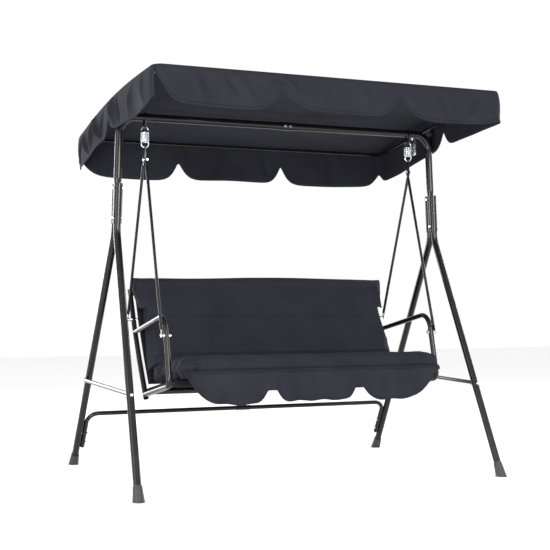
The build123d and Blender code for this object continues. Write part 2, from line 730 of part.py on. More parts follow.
def make_rod_bolts():
    """Bolts through rod, spacer and seat tube at the rods' feet, and the spacers."""
    feet = [(side, foot) for _, side in SIDES for foot in (FRONT_ROD_FOOT, REAR_ROD_FOOT)]
    with BuildPart() as group:
        for side, foot in feet:
            seat = rod_seat(side, foot)
            reach = rod_x(foot) + ROD_FLAT / 2 - SEAT_SIDE_X + SEAT_TUBE / 2
            with BuildSketch(seat.offset(-reach - 8)):
                Circle(4)
            extrude(amount=reach + 8)
            with BuildSketch(seat):
                Circle(7.5)
            extrude(amount=4.5, taper=HEAD_TAPER)
            with BuildSketch(seat.offset(-reach - 0.5)):
                RegularPolygon(7, 6)
            extrude(amount=-6)
    save(group, "rod_bolts")
    with BuildPart() as spacers:
        for side, foot in feet:
            x = SEAT_SIDE_X + SEAT_TUBE / 2 - 3
            with BuildSketch(Plane(origin=(side * x, *foot), z_dir=(side, 0, 0))):
                Circle(ROD_EYE_RADIUS)
                Circle(ROD_HOLE / 2, mode=Mode.SUBTRACT)
            extrude(amount=rod_x(foot) - ROD_FLAT / 2 - x)
        for _, side in SIDES:
            for start, end in ((FRONT_CORNER, UPRIGHT_TOP), (BACK_POINTS[2], BACK_POINTS[3])):
                low, high = Vector(side * SEAT_SIDE_X, *start), Vector(side * SEAT_SIDE_X, *end)
                with BuildSketch(Plane(origin=low, z_dir=high - low)):
                    Circle(SEAT_TUBE / 2)
                extrude(amount=(high - low).length, mode=Mode.SUBTRACT)
    save(spacers, "rod_spacers")


def cross_tube(name, at):
    """A straight tube between the two seat sides."""
    half = SEAT_SIDE_X - SEAT_TUBE / 2
    with BuildPart() as bar:
        with BuildSketch(Plane(origin=(-half, *at), z_dir=(1, 0, 0))):
            Circle(SEAT_TUBE / 2)
            Circle(SEAT_TUBE / 2 - 1, mode=Mode.SUBTRACT)
        extrude(amount=2 * half)
    save(bar, name)


def make_seat_frame():
    """Seat sides, back uprights, armrests and the three cross tubes."""
    for name, side in SIDES:
        make_seat_side(f"{name}_seat_rail", side)
        make_back_upright(f"{name}_back_upright", side)
        make_armrest(f"{name}_armrest", side)
    make_rod_bolts()
    cross_tube("seat_front_tube", FRONT_TUBE)
    cross_tube("seat_rear_tube", REAR_TUBE)
    cross_tube("back_top_tube", TOP_TUBE)


# ---------------------------------------------------------------- slings and cushions

def seat_direction():
    """Unit vector along the seat towards the rear, as (y, z)."""
    dy, dz = REAR_TUBE[0] - FRONT_TUBE[0], REAR_TUBE[1] - FRONT_TUBE[1]
    length = hypot(dy, dz)
    return dy / length, dz / length


def seat_point(y, height):
    """A point above the line through the seat's cross tubes, measured square to it."""
    along_y, along_z = seat_direction()
    base_z = FRONT_TUBE[1] + (y - FRONT_TUBE[0]) * along_z / along_y
    return y - along_z * height, base_z + along_y * height


def back_point(z, forward):
    """A point in front of the back uprights at one height, measured square to them."""
    spans = zip(BACK_POINTS, BACK_POINTS[1:])
    span = next((pair for pair in spans if z <= pair[1][1]), BACK_POINTS[2:])
    (y0, z0), (y1, z1) = span
    length = hypot(y1 - y0, z1 - z0)
    y = y0 + (y1 - y0) * (z - z0) / (z1 - z0)
    return y - forward * (z1 - z0) / length, z + forward * (y1 - y0) / length


def slab(name, outline, half_width):
    """A soft part as an outline in the YZ plane, extruded across the seat."""
    with BuildPart() as piece:
        with BuildSketch(Plane.YZ.offset(-half_width)):
            with BuildLine():
                Polyline(*outline, close=True)
            make_face()
        extrude(amount=2 * half_width)
    save(piece, name)


def make_slings():
    """Fabric slings stretched over the cross tubes of seat and back."""
    low = SEAT_TUBE / 2 + GAP
    high = low + SLING_THICKNESS
    seat = [seat_point(FRONT_TUBE[0], low), seat_point(12, low),
            seat_point(12, high), seat_point(FRONT_TUBE[0], high)]
    slab("seat_sling", seat, SLING_HALF_WIDTH)
    heights = (372, 474, 609, 750)
    rear = [back_point(z, low) for z in heights]
    front = [back_point(z, high) for z in reversed(heights)]
    slab("back_sling", rear + front, SLING_HALF_WIDTH)


def make_seat_cushion():
    """The seat cushion, with rounded front and rear edges."""
    low = SEAT_TUBE / 2 + SLING_THICKNESS + 2 * GAP
    high = low + SEAT_CUSHION_THICKNESS
    half = SEAT_CUSHION_HALF_WIDTH
    outline = [seat_point(SEAT_CUSHION_FRONT_Y, low), seat_point(SEAT_CUSHION_REAR_Y, low),
               seat_point(SEAT_CUSHION_REAR_Y - 8, high), seat_point(SEAT_CUSHION_FRONT_Y, high)]
    with BuildPart() as cushion:
        with BuildSketch(Plane.YZ.offset(-half)) as profile:
            with BuildLine():
                Polyline(*outline, close=True)
            make_face()
            fillet(profile.vertices(), radius=24)
        extrude(amount=2 * half)
        fillet(cushion.edges().filter_by(Axis.X, reverse=True), radius=10)
    save(cushion, "seat_cushion")


def make_back_cushion():
    """The back cushion, which follows the uprights and clears the armrests."""
    low = SEAT_TUBE / 2 + SLING_THICKNESS + 2 * GAP
    high = low + BACK_CUSHION_THICKNESS
    heights = (BACK_CUSHION_BOTTOM_Z, 474, 609, BACK_CUSHION_TOP_Z - 26)
    rear = [back_point(z, low) for z in heights]
    front = [back_point(z - 8, high) for z in reversed(heights)]
    half = BACK_CUSHION_HALF_WIDTH
    with BuildPart() as cushion:
        with BuildSketch(Plane.YZ.offset(-half)) as profile:
            with BuildLine():
                Polyline(*rear, *front, close=True)
            make_face()
            fillet(profile.vertices().group_by(Axis.Y)[-1], radius=24)
            fillet(profile.vertices().sort_by(Axis.Y)[0], radius=20)
        extrude(amount=2 * half)
        for side in (-1, 1):
            with BuildSketch(Plane.YZ.offset(side * BACK_CUSHION_LOWER_HALF_WIDTH)):
                with Locations((0, BACK_CUSHION_STEP_Z)):
                    Rectangle(800, 800, align=(Align.CENTER, Align.MAX))
            extrude(amount=side * 60, mode=Mode.SUBTRACT)
    save(cushion, "back_cushion")


def make_flap():
    """The scalloped flap that hangs in front of the seat cushion."""
    half = SEAT_CUSHION_HALF_WIDTH - 1
    notch, notch_z, low = FLAP_NOTCH_X, FLAP_NOTCH_Z, FLAP_BOTTOM_Z
    with BuildPart() as flap:
        with BuildSketch(Plane.XZ.offset(-FLAP_Y)):
            with BuildLine():
                Line((-half, FLAP_TOP_Z), (half, FLAP_TOP_Z))
                Spline((half, FLAP_TOP_Z), (half - 40, 378), (half - 150, low + 2), (notch + 90, low + 8),
                       (notch + 12, notch_z))
                Line((notch + 12, notch_z), (notch - 12, notch_z))
                Spline((notch - 12, notch_z), (notch - 70, low + 6), (0, low), (70 - notch, low + 6),
                       (12 - notch, notch_z))
                Line((12 - notch, notch_z), (-12 - notch, notch_z))
                Spline((-12 - notch, notch_z), (-90 - notch, low + 8), (150 - half, low + 2),
                       (40 - half, 378), (-half, FLAP_TOP_Z))
            make_face()
        extrude(amount=FLAP_THICKNESS)
    save(flap, "seat_front_flap")


def make_soft_seat():
    """Slings, cushions and flap."""
    make_slings()
    make_seat_cushion()
    make_back_cushion()
    make_flap()


# ---------------------------------------------------------------- canopy

def canopy_plane(drop=0.0):
    """The plane of the canopy's top, or one below it: X across, local Y to the rear."""
    tilt = radians(CANOPY_TILT)
    plane = Plane(origin=(0, HANG_Y, CANOPY_RIDGE_Z), x_dir=(1, 0, 0), z_dir=(0, sin(tilt), cos(tilt)))
    return plane.offset(-drop)


def canopy_half_width(v, inset=0.0):
    """Half of the canopy's width at a distance behind the hanging line."""
    share = (v + CANOPY_FRONT) / (CANOPY_FRONT + CANOPY_REAR)
    return CANOPY_FRONT_HALF_WIDTH + (CANOPY_REAR_HALF_WIDTH - CANOPY_FRONT_HALF_WIDTH) * share - inset


def canopy_outline(inset=0.0):
    """The corners of the canopy's trapezoid."""
    front, rear = -CANOPY_FRONT + inset, CANOPY_REAR - inset
    front_half, rear_half = canopy_half_width(front, inset), canopy_half_width(rear, inset)
    return [(-front_half, front), (front_half, front), (rear_half, rear), (-rear_half, rear)]


def make_canopy_cover():
    """The cover: a top panel with a valance all round, notched between its scallops."""
    with BuildPart() as cover:
        with BuildSketch(canopy_plane()):
            with BuildLine():
                Polyline(*canopy_outline(), close=True)
            make_face()
        extrude(amount=-VALANCE_DEPTH)
        with BuildSketch(canopy_plane(COVER_THICKNESS)):
            with BuildLine():
                Polyline(*canopy_outline(COVER_THICKNESS), close=True)
            make_face()
        extrude(amount=-VALANCE_DEPTH, mode=Mode.SUBTRACT)
        base = canopy_plane(VALANCE_DEPTH)
        rise = VALANCE_DEPTH - NOTCH_DEPTH
        across = Plane(origin=base.origin, x_dir=(1, 0, 0), z_dir=-base.y_dir)
        along = Plane(origin=base.origin, x_dir=base.y_dir, z_dir=(1, 0, 0))
        for plane, centres in ((across, (-NOTCH_X, NOTCH_X)), (along, (0,))):
            with BuildSketch(plane):
                for centre in centres:
                    with BuildLine():
                        Polyline((centre - NOTCH_HALF_WIDTH, -1), (centre, rise),
                                 (centre + NOTCH_HALF_WIDTH, -1), close=True)
                    make_face()
            extrude(amount=900, both=True, mode=Mode.SUBTRACT)
    save(cover, "canopy_cover")


def arm_x(v):
    """Distance of a canopy arm from the middle plane."""
    return canopy_half_width(v, ARM_INSET)


def arm_ends(side):
    """The two ends of a canopy arm's centre line."""
    plane = canopy_plane(ARM_DROP)
    ends = (-CANOPY_FRONT + END_TUBE_INSET, CANOPY_REAR - END_TUBE_INSET)
    return [plane.from_local_coords((side * arm_x(v), v, 0)) for v in ends]


def make_canopy_arm(name, side):
    """A straight arm of the canopy frame, from its front to its rear."""
    start, end = arm_ends(side)
    with BuildPart() as arm:
        with BuildSketch(Plane(origin=start, z_dir=end - start)):
            Circle(ARM_DIAMETER / 2)
            Circle(ARM_DIAMETER / 2 - ARM_WALL, mode=Mode.SUBTRACT)
        extrude(amount=(end - start).length)
    save(arm, name)


def make_pivot_tabs():
    """The tabs below the arms that turn on the pivot bolts."""
    with BuildPart() as tabs:
        for _, side in SIDES:
            start, end = arm_ends(side)
            tab_x = side * (PIVOT_PLATE_X + PIVOT_PLATE_THICKNESS + GAP)
            height = CANOPY_RIDGE_Z - ARM_DROP - PIVOT_Z
            with BuildSketch(Plane.YZ.offset(tab_x)):
                with Locations((HANG_Y, PIVOT_Z)):
                    Circle(PIVOT_TAB_RADIUS)
                with Locations((HANG_Y, PIVOT_Z + height / 2)):
                    Rectangle(2 * PIVOT_TAB_RADIUS, height)
                with Locations((HANG_Y, PIVOT_Z)):
                    Circle(PIVOT_BOLT_DIAMETER / 2 + 0.1, mode=Mode.SUBTRACT)
            extrude(amount=side * PIVOT_TAB_THICKNESS)
            with BuildSketch(Plane(origin=start, z_dir=end - start)):
                Circle(ARM_DIAMETER / 2)
            extrude(amount=(end - start).length, mode=Mode.SUBTRACT)
    save(tabs, "canopy_pivot_tabs")


def make_end_tubes():
    """The front and rear tubes between the arms."""
    plane = canopy_plane(ARM_DROP)
    inset = END_TUBE_INSET + ARM_DIAMETER / 2
    with BuildPart() as tubes:
        for v in (-CANOPY_FRONT + inset, CANOPY_REAR - inset):
            half = arm_x(v) - ARM_DIAMETER / 2 - GAP
            left = plane.from_local_coords((-half, v, 0))
            with BuildSketch(Plane(origin=left, z_dir=(1, 0, 0))):
                Circle(ARM_DIAMETER / 2)
                Circle(ARM_DIAMETER / 2 - ARM_WALL, mode=Mode.SUBTRACT)
            extrude(amount=2 * half)
    save(tubes, "canopy_end_tubes")


def make_canopy_frame():
    """Two side arms with their pivot tabs, and the tubes between them."""
    for name, side in SIDES:
        make_canopy_arm(f"{name}_canopy_arm", side)
    make_pivot_tabs()
    make_end_tubes()


def make_tilt_plate(name, side):
    """A plate that stands on the outside of a post's bend and carries the pivot."""
    turn = 90 - degrees(atan(LEAN))
    bend_x = side_x(side, CROSSBAR_Z) - side * POST_BEND_RADIUS * tan(radians(turn / 2))
    bend_z = CROSSBAR_Z - POST_BEND_RADIUS
    with BuildPart() as plate:
        with BuildSketch(Plane.YZ.offset(side * PIVOT_PLATE_X)):
            with Locations((HANG_Y, PIVOT_Z)):
                Circle(11)
            with Locations((HANG_Y, bend_z)):
                Rectangle(22, PIVOT_Z - bend_z, align=(Align.CENTER, Align.MIN))
            with Locations((HANG_Y, PIVOT_Z)):
                Circle(PIVOT_BOLT_DIAMETER / 2 + 0.1, mode=Mode.SUBTRACT)
        extrude(amount=side * PIVOT_PLATE_THICKNESS)
        with BuildSketch(Plane(origin=(0, HANG_Y, 0), x_dir=(1, 0, 0), z_dir=(0, -1, 0))):
            with Locations((bend_x, bend_z)):
                Circle(POST_BEND_RADIUS + POST_DIAMETER / 2)
        extrude(amount=20, both=True, mode=Mode.SUBTRACT)
        with BuildSketch(lean_plane(side, bend_z - 60)):
            Circle(POST_DIAMETER / 2)
        extrude(amount=64, mode=Mode.SUBTRACT)
    save(plate, name)


def make_tilt_knob(name, side):
    """A five-lobed clamping knob on the inner end of the pivot bolt."""
    face = Plane(origin=(side * (PIVOT_PLATE_X - GAP), HANG_Y, PIVOT_Z), z_dir=(-side, 0, 0))
    with BuildPart() as knob:
        with BuildSketch(face):
            Circle(KNOB_RADIUS - 3)
            with PolarLocations(KNOB_RADIUS - 4, 5):
                Circle(4)
            Circle(PIVOT_BOLT_DIAMETER / 2 + 0.05, mode=Mode.SUBTRACT)
        extrude(amount=KNOB_LENGTH - 4)
        with BuildSketch(face.offset(KNOB_LENGTH - 4)):
            Circle(KNOB_RADIUS - 3)
        extrude(amount=4, taper=20)
    save(knob, name)


def make_canopy_pivots():
    """Plates on the posts' bends, pivot bolts and clamping knobs."""
    for name, side in SIDES:
        make_tilt_plate(f"{name}_tilt_plate", side)
        make_tilt_knob(f"{name}_tilt_knob", side)
    head_x = PIVOT_PLATE_X + PIVOT_PLATE_THICKNESS + PIVOT_TAB_THICKNESS + 2 * GAP
    with BuildPart() as group:
        for _, side in SIDES:
            seat = Plane(origin=(side * head_x, HANG_Y, PIVOT_Z), z_dir=(side, 0, 0))
            with BuildSketch(seat):
                Circle(7)
            extrude(amount=3.5, taper=20)
            with BuildSketch(seat):
                Circle(PIVOT_BOLT_DIAMETER / 2)
            extrude(amount=-20)
    save(group, "tilt_bolts")


make_side_frames()
make_lower_crossbar()
make_stretchers()
make_hangers()
make_seat_frame()
make_soft_seat()
make_canopy_cover()
make_canopy_frame()
make_canopy_pivots()
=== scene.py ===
"""Canopy swing bench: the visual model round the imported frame."""

import math

import bmesh
import bpy
import numpy as np
from mathutils import Matrix, Vector, noise
from mathutils.bvhtree import BVHTree


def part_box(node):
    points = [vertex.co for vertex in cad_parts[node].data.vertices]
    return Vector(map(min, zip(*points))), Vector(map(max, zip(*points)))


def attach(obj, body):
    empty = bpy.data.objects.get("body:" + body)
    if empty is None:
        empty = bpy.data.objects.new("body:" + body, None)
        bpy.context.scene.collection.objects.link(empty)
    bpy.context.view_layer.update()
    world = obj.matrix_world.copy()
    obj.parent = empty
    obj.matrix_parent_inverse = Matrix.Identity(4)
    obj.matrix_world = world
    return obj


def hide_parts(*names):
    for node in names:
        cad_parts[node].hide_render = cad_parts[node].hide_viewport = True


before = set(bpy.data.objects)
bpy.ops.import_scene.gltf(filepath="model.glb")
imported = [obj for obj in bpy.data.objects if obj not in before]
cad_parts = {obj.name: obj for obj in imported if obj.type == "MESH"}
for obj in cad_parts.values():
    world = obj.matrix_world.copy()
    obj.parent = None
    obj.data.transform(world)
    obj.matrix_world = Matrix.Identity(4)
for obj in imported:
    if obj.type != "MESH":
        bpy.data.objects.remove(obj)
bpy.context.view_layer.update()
SCENE = bpy.context.scene


# ------------------------------------------------------------------ materials

class Nodes:
    """A small helper that adds and links shader nodes."""

    def __init__(self, name):
        self.material = bpy.data.materials.new(name)
        self.material.use_nodes = True
        self.tree = self.material.node_tree
        self.shader = self.tree.nodes["Principled BSDF"]
        self.coordinates = self.tree.nodes.new("ShaderNodeTexCoord").outputs["Object"]

    def plug(self, value, socket):
        """Links a socket, or sets a plain value."""
        if isinstance(value, bpy.types.NodeSocket):
            self.tree.links.new(value, socket)
        else:
            socket.default_value = value

    def maths(self, operation, first, second=0.0):
        node = self.tree.nodes.new("ShaderNodeMath")
        node.operation = operation
        self.plug(first, node.inputs[0])
        self.plug(second, node.inputs[1])
        return node.outputs[0]

    def noise(self, scale, detail=3.0, stretch=(1, 1, 1)):
        mapping = self.tree.nodes.new("ShaderNodeMapping")
        mapping.inputs["Scale"].default_value = stretch
        self.plug(self.coordinates, mapping.inputs["Vector"])
        node = self.tree.nodes.new("ShaderNodeTexNoise")
        self.plug(mapping.outputs[0], node.inputs["Vector"])
        node.inputs["Scale"].default_value = scale
        node.inputs["Detail"].default_value = detail
        return node.outputs["Fac"]

    def span(self, factor, low, high):
        """Maps a 0.3..0.7 noise value onto a range."""
        node = self.tree.nodes.new("ShaderNodeMapRange")
        self.plug(factor, node.inputs["Value"])
        node.inputs["From Min"].default_value = 0.3
        node.inputs["From Max"].default_value = 0.7
        node.inputs["To Min"].default_value = low
        node.inputs["To Max"].default_value = high
        return node.outputs[0]

    def blend(self, factor, first, second):
        node = self.tree.nodes.new("ShaderNodeMix")
        node.data_type = "RGBA"
        self.plug(factor, node.inputs[0])
        self.plug(first, node.inputs[6])
        self.plug(second, node.inputs[7])
        return node.outputs[2]

    def bump(self, height, strength, distance, under=None):
        node = self.tree.nodes.new("ShaderNodeBump")
        node.inputs["Strength"].default_value = strength
        node.inputs["Distance"].default_value = distance
        self.plug(height, node.inputs["Height"])
        if under is not None:
            self.plug(under, node.inputs["Normal"])
        return node.outputs[0]

    def put(self, **values):
        """Sets or links inputs of the Principled shader by name, with _ for spaces."""
        for name, value in values.items():
            self.plug(value, self.shader.inputs[name.replace("_", " ")])


def powder_coat():
    """Gloss black powder coat: a fine orange peel under a clear, bright skin."""
    n = Nodes("gloss_powder_coat")
    colour = n.blend(n.span(n.noise(14), 0, 1), (0.0035, 0.0035, 0.004, 1), (0.006, 0.006, 0.007, 1))
    peel = n.bump(n.noise(420, 1), 0.02, 0.0003)
    n.put(Base_Color=colour, Roughness=n.span(n.noise(45), 0.2, 0.28), Normal=peel)
    n.put(Specular_IOR_Level=0.26, Coat_Weight=0.08, Coat_Roughness=0.05)
    return n.material


def zinc():
    """Bright zinc plating with a faint drawn grain and slight dulling."""
    n = Nodes("bright_zinc_plate")
    colour = n.blend(n.span(n.noise(60), 0, 1), (0.62, 0.63, 0.66, 1), (0.82, 0.83, 0.85, 1))
    grain = n.bump(n.noise(1600, 2, (1, 1, 0.2)), 0.12, 0.0003)
    n.put(Base_Color=colour, Metallic=1.0, Roughness=n.span(n.noise(140), 0.16, 0.34), Normal=grain)
    return n.material


def plastic(name, shade):
    """Moulded satin plastic with a fine spark-eroded texture."""
    n = Nodes(name)
    low, high = (shade, shade, shade * 1.05, 1), (shade * 1.5, shade * 1.5, shade * 1.6, 1)
    grain = n.bump(n.noise(1400, 2), 0.25, 0.0004)
    n.put(Base_Color=n.blend(n.span(n.noise(70), 0, 1), low, high), Normal=grain)
    n.put(Roughness=n.span(n.noise(160), 0.38, 0.52))
    return n.material


def woven(name, dark, light, pitch, sheen, strength=0.3, open_mesh=False):
    """Woven polyester: crossed threads, slubs along the threads and soft large mottling."""
    n = Nodes(name)
    split = n.tree.nodes.new("ShaderNodeSeparateXYZ")
    n.plug(n.coordinates, split.inputs[0])
    turns = 2 * math.pi / pitch
    threads = [n.maths("SINE", n.maths("MULTIPLY", axis, turns)) for axis in split.outputs]
    weave = n.maths("ADD", n.maths("ADD", threads[0], threads[1]), threads[2])
    slubs = n.noise(260, 3, (0.25, 1, 1.4))
    mottle = n.span(n.noise(7, 4), 0, 0.5)
    colour = n.blend(n.maths("ADD", mottle, n.maths("MULTIPLY", slubs, 0.5)), dark, light)
    if open_mesh:
        shade = n.span(n.maths("MULTIPLY", weave, 0.2), 0.75, 1.0)
        colour = n.blend(shade, (0.004, 0.004, 0.004, 1), colour)
    cloth = n.bump(weave, strength, pitch * 0.35, n.bump(slubs, 0.2, 0.0006))
    n.put(Base_Color=colour, Roughness=n.span(slubs, 0.72, 0.9), Normal=cloth)
    n.put(Specular_IOR_Level=0.07, Sheen_Weight=sheen, Sheen_Roughness=0.4)
    n.put(Sheen_Tint=(0.75, 0.78, 0.9, 1))
    return n.material


MATERIALS = {
    "frame_paint": powder_coat(),
    "bright_zinc": zinc(),
    "cap_plastic": plastic("cap_plastic_satin", 0.012),
    "knob_plastic": plastic("knob_plastic_satin", 0.010),
    "canopy_fabric": woven(
        "canopy_polyester", (0.0095, 0.0097, 0.0135, 1), (0.0165, 0.0168, 0.0230, 1), 0.0011, 0.012
    ),
    "cushion_fabric": woven(
        "cushion_polyester", (0.0098, 0.0100, 0.0140, 1), (0.0168, 0.0171, 0.0232, 1), 0.0009, 0.012
    ),
    "sling_fabric": woven(
        "sling_mesh", (0.009, 0.009, 0.010, 1), (0.016, 0.016, 0.018, 1), 0.0022, 0.01, 0.6, True
    ),
}


def dress_cad_nodes():
    """Gives every CAD node the procedural finish of its material slot."""
    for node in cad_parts.values():
        slot = node.data.materials[0].name.split(".")[0]
        node.data.materials.clear()
        node.data.materials.append(MATERIALS[slot])


# ------------------------------------------------------------------ meshes

def new_object(name, vertices, faces, slot):
    """A smooth-shaded mesh object in the finish of one slot."""
    mesh = bpy.data.meshes.new(name)
    mesh.from_pydata([tuple(map(float, v)) for v in vertices], [], faces)
    mesh.update()
    mesh.polygons.foreach_set("use_smooth", [True] * len(mesh.polygons))
    mesh.materials.append(MATERIALS[slot])
    obj = bpy.data.objects.new(name, mesh)
    SCENE.collection.objects.link(obj)
    return obj


def apply_modifiers(obj):
    """Replaces the mesh by its evaluated form, so no modifier is left."""
    depsgraph = bpy.context.evaluated_depsgraph_get()
    made = bpy.data.meshes.new_from_object(obj.evaluated_get(depsgraph))
    obj.modifiers.clear()
    obj.data = made


def thicken(obj, thickness):
    """Gives a sheet its real thickness, with closed edges."""
    solid = obj.modifiers.new("thickness", "SOLIDIFY")
    solid.thickness = thickness
    solid.offset = 0
    apply_modifiers(obj)


def points_of(obj):
    """The places of a mesh's vertices as an array."""
    co = np.zeros(len(obj.data.vertices) * 3, np.float32)
    obj.data.vertices.foreach_get("co", co)
    return co.reshape(-1, 3).astype(float)


def put_points(obj, points):
    """Moves a mesh's vertices to the places given."""
    obj.data.vertices.foreach_set("co", points.astype(np.float32).ravel())
    obj.data.update()


def normals_of(obj):
    """The vertex normals of a mesh as an array."""
    no = np.zeros(len(obj.data.vertices) * 3, np.float32)
    obj.data.vertices.foreach_get("normal", no)
    return no.reshape(-1, 3).astype(float)


def grid_faces(rows, columns):
    """Faces of a grid of rows x columns vertices, row by row."""
    return [
        (r * columns + c, r * columns + c + 1, (r + 1) * columns + c + 1, (r + 1) * columns + c)
        for r in range(rows - 1)
        for c in range(columns - 1)
    ]


def rumple(points, scale, seed):
    """Smooth noise between -1 and 1 at each point."""
    shift = Vector((seed, 2.3 * seed, -1.7 * seed))
    return np.array([noise.noise(Vector(p) * scale + shift) for p in points])


def tube_mesh(name, path, radius, slot, closed=False, around=8):
    """A round cord or welt along a path."""
    path = [Vector(p) for p in path]
    count = len(path)
    vertices, faces = [], []
    for i, p in enumerate(path):
        before = path[(i - 1) % count] if closed or i else path[0]
        after = path[(i + 1) % count] if closed or i < count - 1 else path[-1]
        along = (after - before).normalized()
        side = along.cross(Vector((0.13, 0.21, 0.97))).normalized()
        up = side.cross(along)
        for k in range(around):
            turn = 2 * math.pi * k / around
            vertices.append(p + radius * (side * math.cos(turn) + up * math.sin(turn)))
    last = count if closed else count - 1
    for i in range(last):
        for k in range(around):
            a, b = i * around, ((i + 1) % count) * around
            faces.append((a + k, a + (k + 1) % around, b + (k + 1) % around, b + k))
    if not closed:
        faces.append(tuple(reversed(range(around))))
        faces.append(tuple((count - 1) * around + k for k in range(around)))
    return new_object(name, vertices, faces, slot)


# ------------------------------------------------------------------ canopy

COVER_LOW, COVER_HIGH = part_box("canopy_cover")
COVER = points_of(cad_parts["canopy_cover"])
END_BAND = 0.02
COVER_FRONT = COVER[COVER[:, 1] < COVER_LOW.y + END_BAND]
COVER_REAR = COVER[COVER[:, 1] > COVER_HIGH.y - END_BAND]
FRONT_HALF = float(np.abs(COVER_FRONT[:, 0]).max())
REAR_HALF = float(np.abs(COVER_REAR[:, 0]).max())
FRONT_Y, FRONT_Z = (float(x) for x in COVER_FRONT[COVER_FRONT[:, 2].argmax()][1:])
REAR_Y, REAR_Z = (float(x) for x in COVER_REAR[COVER_REAR[:, 2].argmax()][1:])
ACROSS, ALONG, DOWN = 181, 141, 22
CORNER = 0.03
SIDE_ARCH = 0.030
MIDDLE_SAG = 0.016
HEM = 0.012
CLOTH = 0.0012
FOLD_GAIN = 1.7


def canopy_top(u, v):
    """A point of the top panel; u runs across and v from the front to the rear, both 0..1."""
    half = FRONT_HALF + (REAR_HALF - FRONT_HALF) * v
    x = (2 * u - 1) * half
    y = FRONT_Y + (REAR_Y - FRONT_Y) * v
    a, b = abs(x) - (half - CORNER), max(FRONT_Y + CORNER - y, y - REAR_Y + CORNER)
    if a > 0 and b > 0:
        a, b = a / CORNER, b / CORNER
        round_a, round_b = a * math.sqrt(1 - b * b / 2), b * math.sqrt(1 - a * a / 2)
        x = math.copysign(half - CORNER + CORNER * round_a, x)
        middle = (FRONT_Y + REAR_Y) / 2
        y = FRONT_Y + CORNER - CORNER * round_b if y < middle else REAR_Y - CORNER + CORNER * round_b
    z = FRONT_Z + (REAR_Z - FRONT_Z) * (y - FRONT_Y) / (REAR_Y - FRONT_Y)
    edge = abs(2 * u - 1)
    bow = math.sin(math.pi * v)
    z += SIDE_ARCH * bow * (0.35 + 0.65 * edge**2) - MIDDLE_SAG * bow * (1 - edge**2)
    return Vector((x, y, z))


def scallop(at, full, notches, level=0.0):
    """Depth of a scalloped edge, which is full between its notches.

    A notch is (place, depth there, reach before, reach after, power), and level is half the width
    of its flat top.
    """
    depth = full
    for place, shallow, before, after, power in notches:
        t = max(0.0, abs(at - place) - level) / (before if at < place else after)
        depth = min(depth, full - (full - shallow) * math.exp(-(t**power)))
    return depth


def valance_depth(side, x, y):
    """How far the valance hangs at one place of the rim."""
    if side == "front":
        notches = [(-0.232, 0.066, 0.042, 0.078, 1.3), (0.260, 0.068, 0.052, 0.058, 1.3)]
        notches += [(-FRONT_HALF - 0.002, 0.014, 0.05, 0.042, 1.4)]
        notches += [(FRONT_HALF + 0.004, 0.118, 0.05, 0.05, 1.5)]
        return scallop(x, 0.141 - 0.004 * math.cos(9 * x), notches)
    if side == "rear":
        notches = [(-0.285, 0.088, 0.030, 0.036, 1.25), (0.224, 0.084, 0.030, 0.032, 1.25)]
        notches += [(REAR_HALF, 0.090, 0.03, 0.03, 1.2), (-REAR_HALF, 0.092, 0.04, 0.046, 1.35)]
        return scallop(x, 0.166 - 0.005 * math.cos(8 * x), notches)
    if side == "right":
        notches = [(-0.128, 0.076, 0.036, 0.030, 1.25), (REAR_Y, 0.090, 0.03, 0.03, 1.2)]
        return scallop(y, 0.152 + 0.055 * min(0.0, y + 0.05), notches)
    notches = [(-0.030, 0.084, 0.040, 0.036, 1.25), (FRONT_Y - 0.01, 0.104, 0.05, 0.05, 1.4)]
    return scallop(y, 0.142, notches)


# Folds of the valance: the place along the rim as a share, how far down it starts and ends,
# its lean, its height and its width.
CREASES = (
    (0.030, 0.10, 0.95, 0.020, 0.005, 0.0036),
    (0.058, 0.05, 0.80, 0.036, -0.006, 0.0030),
    (0.066, 0.10, 0.90, 0.036, 0.005, 0.0034),
    (0.093, 0.15, 0.85, 0.034, -0.005, 0.0026),
    (0.100, 0.20, 0.95, 0.030, 0.005, 0.0034),
    (0.128, 0.30, 1.00, -0.030, 0.004, 0.0040),
    (0.160, 0.10, 0.80, 0.026, 0.004, 0.0050),
    (0.205, 0.20, 0.95, -0.024, 0.004, 0.0030),
    (0.228, 0.05, 0.80, 0.028, -0.004, 0.0034),
    (0.258, 0.20, 1.00, -0.040, -0.006, 0.0026),
    (0.266, 0.20, 1.00, -0.046, 0.005, 0.0030),
    (0.281, 0.05, 0.95, 0.010, 0.005, 0.0040),
    (0.330, 0.10, 0.90, 0.030, 0.004, 0.0040),
    (0.410, 0.10, 0.90, -0.030, 0.004, 0.0040),
    (0.545, 0.10, 0.95, 0.006, 0.006, 0.0026),
    (0.560, 0.30, 1.00, 0.020, -0.005, 0.0030),
    (0.610, 0.20, 1.00, -0.016, 0.006, 0.0028),
    (0.655, 0.40, 1.00, 0.030, 0.006, 0.0034),
    (0.690, 0.20, 0.95, 0.010, -0.004, 0.0034),
    (0.778, 0.05, 1.00, 0.030, 0.009, 0.0030),
    (0.795, 0.15, 1.00, -0.034, -0.010, 0.0030),
    (0.812, 0.10, 1.00, 0.030, 0.010, 0.0032),
    (0.838, 0.00, 1.00, -0.036, 0.010, 0.0026),
    (0.852, 0.10, 1.00, 0.046, 0.012, 0.0024),
    (0.868, 0.15, 1.00, -0.030, -0.008, 0.0030),
    (0.900, 0.00, 1.00, 0.014, 0.011, 0.0034),
    (0.914, 0.10, 1.00, 0.020, -0.007, 0.0030),
    (0.945, 0.10, 1.00, -0.022, 0.007, 0.0036),
    (0.978, 0.05, 1.00, 0.016, 0.006, 0.0036),
)


